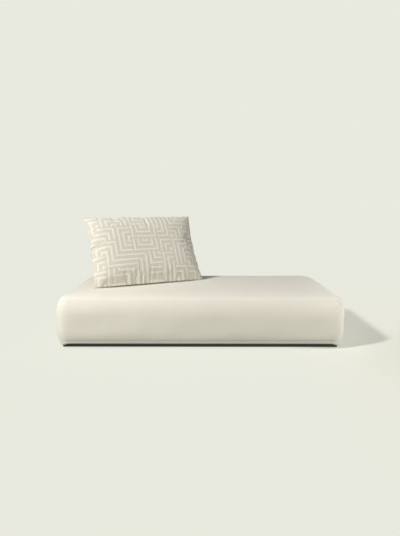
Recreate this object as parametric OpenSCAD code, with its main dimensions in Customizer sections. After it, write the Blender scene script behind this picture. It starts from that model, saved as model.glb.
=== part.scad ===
// Low platform sofa: a rounded upholstered block on a recessed black plinth, with one loose pillow.
// The block is a timber frame with interlaced elastic webbing, a firm foam slab, a softer crowned
// topper, foam pads round the frame, a wadding wrap and a sewn cover of five panels.
// Frame: millimetres, +X along the length, -Y towards the front, +Z up, origin on the floor under
// the middle of the block.

/* [Block] */
// Length of the upholstered block where it is widest
seat_length = 2000; // [1700:10:2400]
// Depth of the upholstered block where it is widest
seat_depth = 1000; // [850:10:1200]
// Height of the top panel's middle above the floor
seat_height = 376; // [350:1:430]
// Rise of the top panel's middle above its seam
crown_rise = 45; // [25:1:60]
// How far the borders draw in at the top seam
seam_inset = 28; // [20:1:44]
// How far the borders draw in at the bottom edge
hem_inset = 24; // [16:1:30]
// Plan radius of the vertical corners where the block is widest
corner_radius = 105; // [70:1:120]

/* [Cover and padding] */
// Thickness of the cover fabric with its backing
fabric_thickness = 2; // [1:0.5:3]
// Radius with which the cover rolls under at its bottom edge
hem_roll = 6; // [4:1:9]
// Width of the cover's edge that turns under the block
turn_under = 16; // [12:1:20]
// Width of the calico strip sewn to the turned edge
hem_strip_width = 36; // [32:1:42]
// Thickness of the wadding wrap
wadding_thickness = 8; // [5:1:12]
// Foam between the wadding and the frame where the block is widest
edge_pad = 42; // [36:1:60]
// Height of the firm foam slab
slab_height = 120; // [80:5:140]

/* [Plinth] */
// Thickness of the plinth battens
plinth_thickness = 25; // [18:1:29]
// Width of the plinth battens
plinth_width = 70; // [60:5:90]
// How far the plinth stands back from the cover's bottom edge
plinth_recess = 28; // [20:1:40]
// Thickness of the floor glides
glide_thickness = 4; // [3:0.5:6]
// Diameter of the floor glides
glide_diameter = 38; // [30:1:45]
// Number of glides under each long batten
glides_per_batten = 4; // [3:1:6]

/* [Frame] */
// Height of the outer rails
rail_height = 96; // [80:2:110]
// Thickness of every rail
rail_thickness = 28; // [24:1:34]
// How far the cross rails lie below the outer rails
cross_rail_drop = 16; // [12:1:24]
// Number of cross rails
cross_rail_count = 3; // [2:1:4]
// Leg of the triangular corner blocks
corner_block = 70; // [50:5:90]

/* [Webbing] */
// Width of the elastic straps
strap_width = 76; // [60:2:80]
// Thickness of the elastic straps
strap_thickness = 2; // [1.5:0.5:2.5]
// Distance from one front-to-back strap to the next
cross_pitch = 150; // [130:5:190]
// Distance from one lengthwise strap to the next
long_pitch = 152; // [130:5:190]
// Sheet thickness of the steel strap clips
clip_sheet = 0.9; // [0.7:0.1:1.2]
// Depth of the steel strap clips
clip_depth = 13; // [10:1:16]

/* [Fasteners] */
// Shank diameter of the frame screws
frame_screw_diameter = 6; // [5:0.5:7]
// Length of the frame screws
frame_screw_length = 80; // [60:5:100]
// Shank diameter of the plinth screws
plinth_screw_diameter = 5; // [4:0.5:6]
// Length of the plinth screws
plinth_screw_length = 60; // [45:5:70]
// Shank diameter of the glide screws
glide_screw_diameter = 3.5; // [3:0.5:4.5]
// Length of the glide screws
glide_screw_length = 18; // [14:1:20]
// Crown width of the staples under the frame
staple_crown = 12; // [8:1:14]
// Leg length of the staples
staple_leg = 12; // [8:1:16]
// Distance from one staple to the next
staple_pitch = 110; // [80:5:160]

/* [Pillow] */
// Width of the pillow from corner to corner
pillow_width = 882; // [700:2:960]
// Height of the pillow from corner to corner
pillow_height = 568; // [480:2:620]
// Thickness of the pillow's middle
pillow_thickness = 190; // [150:2:220]
// How far the pillow's sides pull in between its corners
pillow_draw = 15; // [6:1:24]
// How far its top and bottom pull in between its corners
pillow_edge_draw = 5; // [2:1:10]
// Thickness of the pillow's fabric
pillow_fabric = 1.5; // [1:0.25:2]
// Turn of the pillow on the seat, seen from above
pillow_turn = 27; // [0:1:32]
// Lean of the pillow from upright
pillow_lean = 28; // [20:1:32]
// Place of the pillow's bottom edge along the block
pillow_x = -372; // [-400:2:-150]
// Place of the pillow's bottom edge across the block
pillow_y = -48; // [-60:2:60]

/* [Zip] */
// Length of the zip across the pillow's back
zip_length = 420; // [360:5:480]
// Width of the zip tape
zip_tape_width = 30; // [24:1:36]
// Height of the zip above the pillow's bottom edge
zip_level = 210; // [150:5:330]
// Width of the closed coil
coil_width = 5; // [4:0.5:6]
// Height of the closed coil above its tape
coil_height = 2.6; // [2.2:0.2:3]
// Length of the slider body
slider_length = 11; // [9:1:13]
// Length of the pull from its pin to its tip
pull_length = 28; // [22:1:36]

/* [Hidden] */

// Clearances
soft_gap = 0.3;
running_gap = 0.15;
pin_gap = 0.08;
screw_gap = 0.05;

// Smoothness of round hardware, and steps of the soft forms
round_steps = 48;
corner_steps = 3;
long_steps = 5;
short_steps = 3;

// Heights of the layers, from the floor up
plinth_z = glide_thickness;
dust_z = plinth_z + plinth_thickness;
dust_thickness = 1;
hem_z = dust_z + dust_thickness;
rail_z = hem_z + fabric_thickness;
webbing_z = rail_z + rail_height;
weave_step = strap_thickness + soft_gap;
slab_z = webbing_z + weave_step + strap_thickness + soft_gap;
topper_z = slab_z + slab_height + soft_gap;
seam_z = seat_height - crown_rise;

// Depths of the layers below the cover's face, and half sizes seen from above
half_length = seat_length / 2;
half_depth = seat_depth / 2;
wadding_depth = fabric_thickness + soft_gap;
foam_depth = wadding_depth + wadding_thickness + soft_gap;
frame_inset = foam_depth + edge_pad + soft_gap;
frame_x = half_length - frame_inset;
frame_y = half_depth - frame_inset;
inner_x = frame_x - rail_thickness;
inner_y = frame_y - rail_thickness;
seam_x = half_length - seam_inset;
seam_y = half_depth - seam_inset;
plinth_x = half_length - hem_inset - plinth_recess;
plinth_y = half_depth - hem_inset - plinth_recess;
strip_inset = hem_inset + turn_under;
strip_end = strip_inset + hem_strip_width;
cross_rail_height = rail_height - cross_rail_drop;

// Cross-section of the borders: how high they are widest, and how fast they draw in below and above
belly_height = 0.5;
belly_below = 4;
belly_above = 3;

// Crown of the top panel: a high power keeps its middle flat, and a low one rounds its edge
crown_flat = 7;
crown_edge = 0.6;
crown_levels = [1, 0.993, 0.978, 0.945, 0.88, 0.76, 0.56, 0.3];

// Form of the soft block

// How near a place of the plan lies to the seam's outline: 0 along the middle, 1 on the outline.
// Both coordinates count in half depths, and level lines have rounded corners as the outline has.
function nearness(x, y, depth = 0) =
    let (
        hy = seam_y - depth,
        a = max(0, abs(x) - seam_x + seam_y) / hy,
        b = abs(y) / hy,
        r = plan_radius(seam_inset + depth) / hy,
        c = 1 - r,
        k = 2 * c * c - r * r
    )
    min(a, b) <= c * max(a, b)
        ? max(a, b)
        : (c * (a + b) - sqrt(pow(c * (a + b), 2) - k * (a * a + b * b))) / k;

// Share of the crown's rise over a place of the plan
function crown_share(x, y, depth = 0) = pow(1 - pow(min(1, nearness(x, y, depth)), crown_flat), crown_edge);

// Height of the top panel over a point of the plan
function seat_top(x, y) = seam_z + crown_rise * crown_share(x, y);

border_heights = [
    for (t = [0, 0.1, 0.25, 0.45, 0.64, 0.8, 0.91, 1])
        hem_z + hem_roll + t * (seam_z - hem_z - hem_roll)
];

border_profile = [
    for (z = border_heights)
        let (t = (z - hem_z) / (seam_z - hem_z))
        [
            z,
            t < belly_height
                ? hem_inset * pow(1 - t / belly_height, belly_below)
                : seam_inset * pow((t - belly_height) / (1 - belly_height), belly_above)
        ]
];

// How far the border draws in at a height
function border_inset(z) = lookup(z, border_profile);

// Heights of a layer's rows: its ends, and the border's own rows between them
function levels(low, high) = concat(
    [low],
    [for (z = border_heights) if (z > low + 1 && z < high - 1) z],
    [high]
);

function plan_radius(inset) = max(corner_radius - inset, 3);

// Plan radius of the frame's corners, which leaves the screw heads in the rails' ends a flat face
frame_radius = min(plan_radius(frame_inset), rail_thickness / 2 - frame_screw_diameter);

// Places along a side, closer together towards its ends
function side_share(k, steps) = let (t = 2 * k / steps - 1) (t + sin(90 * t)) / 2;

// One side of a rounded rectangle, from the middle of one corner to the middle of the next.
// Sides 0 to 3 are the front, right, back and left.
function side_outline(side, hx, hy, r, z) =
    let (
        along = [cos(90 * side), sin(90 * side)],
        out = [sin(90 * side), -cos(90 * side)],
        half = (side % 2 == 0 ? hx : hy) - r,
        far = (side % 2 == 0 ? hy : hx) - r,
        steps = side % 2 == 0 ? long_steps : short_steps
    )
    [
        for (k = [-corner_steps:0])
            let (a = 45 * k / corner_steps, p = out * far - along * half + r * (out * cos(a) + along * sin(a)))
            [p.x, p.y, z],
        for (k = [1:steps - 1])
            let (p = along * half * side_share(k, steps) + out * (far + r))
            [p.x, p.y, z],
        for (k = [0:corner_steps])
            let (a = 45 * k / corner_steps, p = out * far + along * half + r * (out * cos(a) + along * sin(a)))
            [p.x, p.y, z]
    ];

// The whole ring: the four sides, each without its last point
function ring_outline(hx, hy, r, z) = [
    for (side = [0:3])
        let (points = side_outline(side, hx, hy, r, z))
        for (k = [0:len(points) - 2]) points[k]
];

// A side or a ring of the block at a plan inset
function inset_side(side, inset, z) =
    side_outline(side, half_length - inset, half_depth - inset, plan_radius(inset), z);

function inset_ring(inset, z) = ring_outline(half_length - inset, half_depth - inset, plan_radius(inset), z);

// A ring of the crowned top: the seam's outline shrunk to a share, lifted by the crown
function crown_ring(share, depth) =
    let (rise = share < 1 ? crown_rise - depth : 0)
    [
        for (p = ring_outline(seam_x - depth, seam_y - depth, plan_radius(seam_inset + depth), seam_z))
            [p.x * share, p.y * share, seam_z + rise * crown_share(p.x * share, p.y * share, depth)]
    ];

// Closed meshes from rows of points. Rows go up and columns go to the right, seen from outside.

function flat(rows) = [for (row = rows) for (p = row) p];

function reversed(list) = [for (i = [len(list) - 1:-1:0]) list[i]];

function row_numbers(row, columns, start) = [for (j = [0:columns - 1]) start + row * columns + j];

function column_numbers(column, rows, columns, start) = [for (i = [0:rows - 1]) start + i * columns + column];

// Triangles between two edges that run side by side
function strip_faces(a, b, wrap) = [
    for (j = [0:len(a) - (wrap ? 1 : 2)])
        let (k = (j + 1) % len(a))
        each [[a[j], a[k], b[k]], [a[j], b[k], b[j]]]
];

// Triangles of a grid that faces outward or inward. With fan set, the diagonals run towards the
// grid's middle, so that no triangle at a corner lies flat in the rim.
function grid_faces(rows, columns, start, wrap, inward, fan = false) = [
    for (i = [0:rows - 2]) for (j = [0:columns - (wrap ? 1 : 2)])
        let (
            a = start + i * columns + j,
            b = start + i * columns + (j + 1) % columns,
            c = a + columns,
            d = b + columns,
            turned = fan && (2 * i < rows - 1) == (2 * j >= columns - 1),
            faces = turned ? [[a, c, b], [c, d, b]] : [[a, c, d], [a, d, b]]
        )
        each inward ? [for (f = faces) reversed(f)] : faces
];

// A sheet with thickness, between an outer and an inner grid
module patch(outer, inner, fan = false) {
    rows = len(outer);
    columns = len(outer[0]);
    second = rows * columns;
    polyhedron(
        points = concat(flat(outer), flat(inner)),
        faces = concat(
            grid_faces(rows, columns, 0, false, false, fan),
            grid_faces(rows, columns, second, false, true, fan),
            strip_faces(row_numbers(0, columns, 0), row_numbers(0, columns, second), false),
            strip_faces(
                reversed(row_numbers(rows - 1, columns, 0)),
                reversed(row_numbers(rows - 1, columns, second)),
                false
            ),
            strip_faces(
                reversed(column_numbers(0, rows, columns, 0)),
                reversed(column_numbers(0, rows, columns, second)),
                false
            ),
            strip_faces(
                column_numbers(columns - 1, rows, columns, 0),
                column_numbers(columns - 1, rows, columns, second),
                false
            )
        ),
        convexity = 6
    );
}

// A sheet with thickness made of rings, closed over the top
module cap(outer, inner, outer_middle, inner_middle) {
    rows = len(outer);
    columns = len(outer[0]);
    second = rows * columns;
    last_outer = row_numbers(rows - 1, columns, 0);
    last_inner = row_numbers(rows - 1, columns, second);
    polyhedron(
        points = concat(flat(outer), flat(inner), [outer_middle, inner_middle]),
        faces = concat(
            grid_faces(rows, columns, 0, true, false),
            grid_faces(rows, columns, second, true, true),
            strip_faces(row_numbers(0, columns, 0), row_numbers(0, columns, second), true),
            [for (j = [0:columns - 1]) [last_outer[j], 2 * second, last_outer[(j + 1) % columns]]],
            [for (j = [0:columns - 1]) [last_inner[j], last_inner[(j + 1) % columns], 2 * second + 1]]
        ),
        convexity = 6
    );
}

// A solid made of rings, closed at the bottom and the top
module loft(rings, bottom_middle, top_middle) {
    rows = len(rings);
    columns = len(rings[0]);
    middle = rows * columns;
    last = row_numbers(rows - 1, columns, 0);
    polyhedron(
        points = concat(flat(rings), [bottom_middle, top_middle]),
        faces = concat(
            grid_faces(rows, columns, 0, true, false),
            [for (j = [0:columns - 1]) [j, (j + 1) % columns, middle]],
            [for (j = [0:columns - 1]) [last[j], middle + 1, last[(j + 1) % columns]]]
        ),
        convexity = 6
    );
}

// Cover of the block

// Rows of a border from its turned-under edge, round the roll and up to the seam
function border_rows(side, depth) = concat(
    [inset_side(side, strip_inset, hem_z + depth)],
    [
        for (a = [0, 45])
            inset_side(
                side,
                hem_inset + hem_roll - (hem_roll - depth) * sin(a),
                hem_z + hem_roll - (hem_roll - depth) * cos(a)
            )
    ],
    [for (z = border_heights) inset_side(side, border_inset(z) + depth, z)]
);

module border(side) {
    color([0.90, 0.88, 0.81]) patch(border_rows(side, 0), border_rows(side, fabric_thickness));
}

module top_panel() {
    color([0.91, 0.89, 0.82])
        cap(
            [for (s = crown_levels) crown_ring(s, 0)],
            [for (s = crown_levels) crown_ring(s, fabric_thickness)],
            [0, 0, seat_height],
            [0, 0, seat_height - fabric_thickness]
        );
}

// Calico strip round the turned-under edge, stapled to the rails from below
module hem_strip() {
    color([0.83, 0.80, 0.72])
        difference() {
            translate([0, 0, hem_z])
                linear_extrude(fabric_thickness)
                    difference() {
                        polygon([for (p = inset_ring(strip_inset, 0)) [p.x, p.y]]);
                        square([2 * (half_length - strip_end), 2 * (half_depth - strip_end)], center = true);
                    }
            staple_set(screw_gap);
            plinth_screw_set(screw_gap);
        }
}

// Padding

// A foam pad glued to the outside of one rail
module edge_foam(side) {
    rows = levels(rail_z + soft_gap, slab_z - soft_gap);
    color([0.95, 0.88, 0.62])
        patch(
            [for (z = rows) inset_side(side, border_inset(z) + foam_depth, z)],
            [for (z = rows) side_outline(side, frame_x + soft_gap, frame_y + soft_gap, frame_radius + soft_gap, z)]
        );
}

module foam_slab() {
    top = slab_z + slab_height;
    color([0.93, 0.84, 0.55])
        loft(
            [for (z = levels(slab_z, top)) inset_ring(border_inset(z) + foam_depth, z)],
            [0, 0, slab_z],
            [0, 0, top]
        );
}

// Rows of a layer that runs up the borders from a height and on over the crown
function wrap_rows(low, depth) =
    let (heights = levels(low, seam_z))
    concat(
        [for (i = [0:len(heights) - 2]) inset_ring(border_inset(heights[i]) + depth, heights[i])],
        [for (s = crown_levels) crown_ring(s, depth)]
    );

module foam_topper() {
    color([0.97, 0.93, 0.78])
        loft(wrap_rows(topper_z, foam_depth), [0, 0, topper_z], [0, 0, seat_height - foam_depth]);
}

module wadding_wrap() {
    low = hem_z + hem_roll;
    inside = wadding_depth + wadding_thickness;
    color([0.97, 0.97, 0.96])
        cap(
            wrap_rows(low, wadding_depth),
            wrap_rows(low, inside),
            [0, 0, seat_height - wadding_depth],
            [0, 0, seat_height - inside]
        );
}

// Fasteners

// A countersunk screw with its flat at z = 0 and its point upwards; a gap makes it a bore
module countersunk_screw(diameter, length, gap, sink = 0) {
    head = 0.95 * diameter + gap;
    shank = diameter / 2 + gap;
    rotate_extrude($fn = round_steps)
        polygon([
            [0, gap > 0 ? -1 - sink : 0],
            [head, gap > 0 ? -1 - sink : 0],
            if (gap > 0) [head, 0],
            [shank, head - shank],
            [shank, length - diameter + gap],
            [0, length + gap]
        ]);
}

// Places of the cross rails along the block
cross_rail_places = [
    for (i = [1:cross_rail_count]) (2 * i / (cross_rail_count + 1) - 1) * inner_x
];

// Two screws hold each joint, through a long rail into the end of a side rail or cross rail
joint_places = concat(
    [for (end = [-1, 1]) end * (frame_x - rail_thickness / 2)],
    cross_rail_places
);

module frame_screw_set(gap) {
    for (x = joint_places) for (share = [0.25, 0.75]) for (end = [-1, 1])
        translate([x, end * frame_y, rail_z + share * cross_rail_height])
            rotate([end * 90, 0, 0])
                countersunk_screw(frame_screw_diameter, frame_screw_length, gap);
}

// Plinth screws rise into the rails just inside the calico strip's staples
screw_sink = 2;
screw_edge = 8;
screw_line = frame_inset + rail_thickness - screw_edge;
centre_place = cross_rail_places[floor(cross_rail_count / 2)];

plinth_screw_spots = concat(
    [
        for (i = [0:cross_rail_count]) for (end = [-1, 1])
            [(2 * (i + 0.5) / (cross_rail_count + 1) - 1) * inner_x, end * (half_depth - screw_line)]
    ],
    [for (end = [-1, 1]) for (share = [-0.5, 0.5]) [end * (half_length - screw_line), share * inner_y]],
    [for (share = [-0.5, 0.5]) [centre_place, share * inner_y]]
);

module plinth_screw_set(gap) {
    for (p = plinth_screw_spots)
        translate([p.x, p.y, plinth_z + screw_sink])
            countersunk_screw(plinth_screw_diameter, plinth_screw_length, gap, screw_sink);
}

glide_spots = [
    for (i = [0:glides_per_batten - 1]) for (end = [-1, 1])
        [
            (2 * i / (glides_per_batten - 1) - 1) * (plinth_x - plinth_width / 2),
            end * (plinth_y - plinth_width / 2)
        ]
];

glide_sink = 0.8;

module glide_screw_set(gap) {
    for (p = glide_spots)
        translate([p.x, p.y, glide_sink])
            countersunk_screw(glide_screw_diameter, glide_screw_length, gap, glide_sink);
}
// Staples under the rails, crowns level with the dust cover
staple_wire = 1.1;
staple_edge = 11;
staple_line = frame_inset + staple_edge;

row_margin = 10;

// Places of pieces of one width in a row, centred on the middle of a span
function row_places(span, width, pitch) =
    let (n = floor((span - width - 2 * row_margin) / pitch) + 1)
    [for (i = [0:n - 1]) (i - (n - 1) / 2) * pitch];

staple_spots = concat(
    [
        for (x = row_places(2 * inner_x - 2 * corner_block, staple_crown, staple_pitch)) for (end = [-1, 1])
            [x, end * (half_depth - staple_line), 0]
    ],
    [
        for (y = row_places(2 * inner_y - 2 * corner_block, staple_crown, staple_pitch)) for (end = [-1, 1])
            [end * (half_length - staple_line), y, 90]
    ]
);

module staple_set(gap) {
    thick = staple_wire + 2 * gap;
    under = gap > 0 ? 1 : 0;
    for (p = staple_spots)
        translate([p.x, p.y, dust_z]) rotate(p.z) {
            translate([-staple_crown / 2 - gap, -thick / 2, -under])
                cube([staple_crown + 2 * gap, thick, staple_wire + gap + under]);
            for (end = [-1, 1])
                translate([end * (staple_crown - staple_wire) / 2 - thick / 2, -thick / 2, 0])
                    cube([thick, thick, staple_wire + staple_leg + gap]);
        }
}

module frame_screws() {
    color([0.55, 0.55, 0.57]) frame_screw_set(0);
}

module plinth_screws() {
    color([0.60, 0.60, 0.62]) plinth_screw_set(0);
}

module glide_screws() {
    color([0.75, 0.75, 0.76]) glide_screw_set(0);
}

module cover_staples() {
    color([0.72, 0.72, 0.74]) staple_set(0);
}

// Timber frame

groove_width = strap_thickness + 2 * clip_sheet + 4 * running_gap;
groove_depth = clip_depth + running_gap;

// Groove along the middle of a rail's top, for the strap clips
module strap_groove(length) {
    translate([-length / 2, -groove_width / 2, webbing_z - groove_depth])
        cube([length, groove_width, groove_depth + 1]);
}

// Plan of a long rail: its outer corners are rounded so that they don't wear the foam
module long_rail_plan() {
    r = frame_radius;
    translate([-frame_x + r, 0]) square([2 * (frame_x - r), rail_thickness]);
    translate([-frame_x, 0]) square([2 * frame_x, rail_thickness - r]);
    for (end = [-1, 1])
        translate([end * (frame_x - r), rail_thickness - r]) circle(r = r, $fn = round_steps);
}

// The front rail is the back rail turned round
module long_rail(turn) {
    color([0.80, 0.66, 0.46])
        difference() {
            rotate(turn)
                difference() {
                    translate([0, inner_y, rail_z]) linear_extrude(rail_height) long_rail_plan();
                    translate([0, inner_y + rail_thickness / 2, 0]) strap_groove(2 * inner_x);
                }
            frame_screw_set(screw_gap);
            plinth_screw_set(screw_gap);
            staple_set(screw_gap);
        }
}

module side_rail(end) {
    middle = end * (inner_x + rail_thickness / 2);
    color([0.78, 0.63, 0.43])
        difference() {
            translate([middle, 0, rail_z + rail_height / 2])
                cube([rail_thickness, 2 * inner_y, rail_height], center = true);
            translate([middle, 0, 0]) rotate(90) strap_groove(2 * inner_y + 2);
            frame_screw_set(screw_gap);
            plinth_screw_set(screw_gap);
            staple_set(screw_gap);
        }
}

module cross_rails() {
    color([0.80, 0.66, 0.46])
        difference() {
            for (x = cross_rail_places)
                translate([x, 0, rail_z + cross_rail_height / 2])
                    cube([rail_thickness, 2 * inner_y, cross_rail_height], center = true);
            frame_screw_set(screw_gap);
            plinth_screw_set(screw_gap);
        }
}

module corner_blocks() {
    color([0.74, 0.58, 0.38])
        for (x = [-1, 1]) for (y = [-1, 1])
            translate([x * inner_x, y * inner_y, rail_z])
                linear_extrude(cross_rail_height)
                    polygon([[0, 0], [-x * corner_block, 0], [0, -y * corner_block]]);
}

// Elastic webbing

cross_places = row_places(2 * inner_x, strap_width, cross_pitch);
long_places = row_places(2 * inner_y, strap_width, long_pitch);

// The end of a strap turns down into the rail's groove, inside its clip
strap_tuck = clip_depth - clip_sheet - running_gap;

module crosswise_webbing() {
    groove = inner_y + rail_thickness / 2;
    reach = groove + strap_thickness / 2;
    color([0.18, 0.18, 0.19])
        for (x = cross_places)
            translate([x - strap_width / 2, 0, webbing_z])
                rotate([90, 0, 90])
                    linear_extrude(strap_width)
                        polygon([
                            [-reach, -strap_tuck], [-reach, strap_thickness],
                            [reach, strap_thickness], [reach, -strap_tuck],
                            [reach - strap_thickness, -strap_tuck], [reach - strap_thickness, 0],
                            [strap_thickness - reach, 0], [strap_thickness - reach, -strap_tuck]
                        ]);
}

weave_lead = 6;

// Line of a lengthwise strap's underside, over and under the crosswise straps by turns
function woven_line(turn) = concat(
    [[-inner_x, 0]],
    [
        for (i = [0:len(cross_places) - 1])
            let (z = (i + turn) % 2 == 0 ? weave_step : -weave_step)
            each [for (end = [-1, 1]) [cross_places[i] + end * (strap_width / 2 + weave_lead), z]]
    ],
    [[inner_x, 0]]
);

module lengthwise_webbing() {
    reach = inner_x + rail_thickness / 2 + strap_thickness / 2;
    color([0.22, 0.22, 0.23])
        for (j = [0:len(long_places) - 1])
            translate([0, long_places[j] + strap_width / 2, webbing_z])
                rotate([90, 0, 0])
                    linear_extrude(strap_width)
                        polygon(concat(
                            [[-reach, -strap_tuck], [-reach, strap_thickness]],
                            [for (p = woven_line(j)) p + [0, strap_thickness]],
                            [[reach, strap_thickness], [reach, -strap_tuck]],
                            [[reach - strap_thickness, -strap_tuck], [reach - strap_thickness, 0]],
                            reversed(woven_line(j)),
                            [[strap_thickness - reach, 0], [strap_thickness - reach, -strap_tuck]]
                        ));
}

// Folded steel clip round the end of a strap, pressed down into the rail's groove
module strap_clip() {
    inside = strap_thickness / 2 + running_gap;
    outside = inside + clip_sheet;
    translate([0, 0, webbing_z - clip_depth])
        rotate([90, 0, 90])
            linear_extrude(strap_width, center = true)
                difference() {
                    translate([-outside, 0]) square([2 * outside, clip_depth - 1]);
                    translate([-inside, clip_sheet]) square([2 * inside, clip_depth]);
                }
}

module webbing_clips() {
    color([0.70, 0.70, 0.72]) {
        for (x = cross_places) for (end = [-1, 1])
            translate([x, end * (inner_y + rail_thickness / 2), 0]) strap_clip();
        for (y = long_places) for (end = [-1, 1])
            translate([end * (inner_x + rail_thickness / 2), y, 0]) rotate(90) strap_clip();
    }
}

// Plinth and underside

glide_chamfer = 1;

module floor_glides() {
    radius = glide_diameter / 2;
    color([0.12, 0.12, 0.12])
        difference() {
            for (p = glide_spots)
                translate([p.x, p.y, 0])
                    rotate_extrude($fn = round_steps)
                        polygon([
                            [0, 0], [radius - glide_chamfer, 0], [radius, glide_chamfer],
                            [radius, glide_thickness], [0, glide_thickness]
                        ]);
            glide_screw_set(screw_gap);
        }
}

// Battens laid flat: the long ones run through, the others fit between them
module batten(x, y, length, width) {
    color([0.09, 0.09, 0.09])
        difference() {
            translate([x, y, plinth_z + plinth_thickness / 2])
                cube([length, width, plinth_thickness], center = true);
            plinth_screw_set(screw_gap);
            glide_screw_set(screw_gap);
        }
}

module long_batten(end) {
    batten(0, end * (plinth_y - plinth_width / 2), 2 * plinth_x, plinth_width);
}

module short_batten(x) {
    batten(x, 0, plinth_width, 2 * (plinth_y - plinth_width));
}

lining_inset = 14;

module dust_cover() {
    reach = strip_inset + lining_inset;
    color([0.14, 0.14, 0.14])
        difference() {
            translate([0, 0, dust_z + dust_thickness / 2])
                cube([2 * (half_length - reach), 2 * (half_depth - reach), dust_thickness], center = true);
            plinth_screw_set(screw_gap);
            staple_set(screw_gap);
        }
}

// Pillow

pillow_x_half = pillow_width / 2;
pillow_z_half = pillow_height / 2;
puff_power = 4;
puff_root = 0.65;

// The pillow stands on its lowest corner, and the seat presses the rest of its edge up
pillow_base = soft_gap + min([
    for (end = [-1, 1])
        seat_top(
            pillow_x + end * pillow_x_half * cos(pillow_turn),
            pillow_y + end * pillow_x_half * sin(pillow_turn)
        )
]);

// From the pillow's own frame, across, out of its back and up, to the room
function pillow_place(p) =
    let (
        back = p.y * cos(pillow_lean) + p.z * sin(pillow_lean),
        up = p.z * cos(pillow_lean) - p.y * sin(pillow_lean)
    )
    [
        pillow_x + p.x * cos(pillow_turn) - back * sin(pillow_turn),
        pillow_y + p.x * sin(pillow_turn) + back * cos(pillow_turn),
        pillow_base + up
    ];

// The same, pressed flat where the seat is in the way
function pillow_seated(p, lift) =
    let (q = pillow_place(p))
    [q.x, q.y, max(q.z, seat_top(q.x, q.y) + lift)];

// Share of the pillow's thickness at a place given in half sizes from its middle
function puff(u, w) =
    pow(max(0, (1 - pow(abs(u), puff_power)) * (1 - pow(abs(w), puff_power))), puff_root);

// The zip's slot: half its height over the zip, narrowing to a seam beyond its ends
slot_half = coil_width / 2 + 3;
slot_lead = 6;
slot_taper = 20;
tape_tail = 18;
slot_flat_u = (zip_length / 2 + slot_lead) / pillow_x_half;
slot_end_u = (zip_length / 2 + slot_lead + slot_taper) / pillow_x_half;
tape_end_u = (zip_length / 2 + tape_tail) / pillow_x_half;

function slot_share(u) = max(0, min(1, (slot_end_u - abs(u)) / (slot_end_u - slot_flat_u)));

near_steps = [0, 0.5, 1];
far_steps = [0, 0.3, 0.6, 0.82, 0.94, 1];
row_steps = [0, 0.1, 0.32, 0.6, 0.82, 0.94, 1];

half_columns = concat(
    [for (t = near_steps) t * slot_flat_u],
    [for (t = far_steps) slot_end_u + t * (1 - slot_end_u)]
);
columns_across = concat(
    [for (i = [len(half_columns) - 1:-1:1]) -half_columns[i]],
    half_columns
);

// Height share of a row: part 1 runs from the zip up, part -1 from the zip down
function row_share(u, part, t, slot, depth) =
    let (
        half = pillow_z_half - depth - pillow_edge_draw * (1 - u * u),
        start = (zip_level + part * slot * slot_share(u) - pillow_z_half) / half
    )
    start + t * (part - start);

// A point of the pillow's face on the front (face -1) or back (face 1), a depth below it
function pillow_point(u, w, face, depth, rim) = [
    u * (pillow_x_half - depth - pillow_draw * (1 - w * w)),
    face * ((pillow_thickness / 2 - depth) * puff(u, w) + rim),
    pillow_z_half + w * (pillow_z_half - depth - pillow_edge_draw * (1 - u * u))
];

function pillow_row(part, t, face, slot, depth, rim) = [
    for (u = face < 0 ? columns_across : reversed(columns_across))
        pillow_seated(
            pillow_point(u, row_share(u, part, t, slot, depth), face, depth, rim),
            soft_gap + depth
        )
];

// Rows of a part of the pillow, from the bottom up
function part_rows(part, face, slot, depth, rim) = [
    for (t = part > 0 ? row_steps : reversed(row_steps)) pillow_row(part, t, face, slot, depth, rim)
];

function whole_rows(face, depth, rim) =
    let (upper = part_rows(1, face, 0, depth, rim))
    concat(part_rows(-1, face, 0, depth, rim), [for (i = [1:len(upper) - 1]) upper[i]]);

module pillow_front() {
    color([0.80, 0.76, 0.68]) patch(whole_rows(-1, 0, 0), whole_rows(-1, pillow_fabric, 0), true);
}

module pillow_back(part) {
    color([0.78, 0.74, 0.66])
        patch(part_rows(part, 1, slot_half, 0, 0), part_rows(part, 1, slot_half, pillow_fabric, 0), true);
}

// Fibre-filled inner pillow, a little smaller than its cover
module pillow_insert() {
    front = [for (row = whole_rows(-1, insert_depth, insert_rim)) reversed(row)];
    color([0.96, 0.95, 0.92]) patch(whole_rows(1, insert_depth, insert_rim), front, true);
}

// Zip across the pillow's back

tape_thickness = 0.8;
facet_gap = 0.2;
tape_face = (pillow_thickness / 2 - pillow_fabric)
    * puff(tape_end_u, (abs(zip_level - pillow_z_half) + zip_tape_width / 2) / pillow_z_half)
    - soft_gap - facet_gap;
insert_rim = 0.5;
insert_depth = pillow_thickness / 2 - tape_face + tape_thickness + soft_gap + insert_rim;

// Coil: a narrow sewn foot under a wide head. The slider's lips run under the head.
foot_width = 2.4;
foot_height = 0.9;
stop_length = 4;
stop_overhang = 0.5;
slider_wall = 1.6;
slider_top = 1.3;
slider_start = zip_length / 2 - slider_length;

// Pin over the slider and the eye of the pull round it
pin_diameter = 1.8;
pin_rise = 2.3;
post_length = 1.6;
post_width = 2.4;
eye_wall = 1.1;
eye_width = 4.4;
pull_width = 8;
pull_thickness = 1;
post_place = eye_width / 2 + running_gap + post_length / 2;

slider_roof = coil_height + running_gap + slider_top;
pin_height = slider_roof + pin_rise;

// Puts what is drawn along the zip, with its outside towards +Y, on the pillow's back
module at_zip() {
    translate([pillow_x, pillow_y, pillow_base])
        rotate(pillow_turn)
            rotate([-pillow_lean, 0, 0])
                translate([0, tape_face, zip_level]) children();
}

module zip_tape() {
    length = zip_length + 2 * tape_tail;
    color([0.70, 0.66, 0.58])
        at_zip()
            translate([-length / 2, -tape_thickness, -zip_tape_width / 2])
                cube([length, tape_thickness, zip_tape_width]);
}

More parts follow.
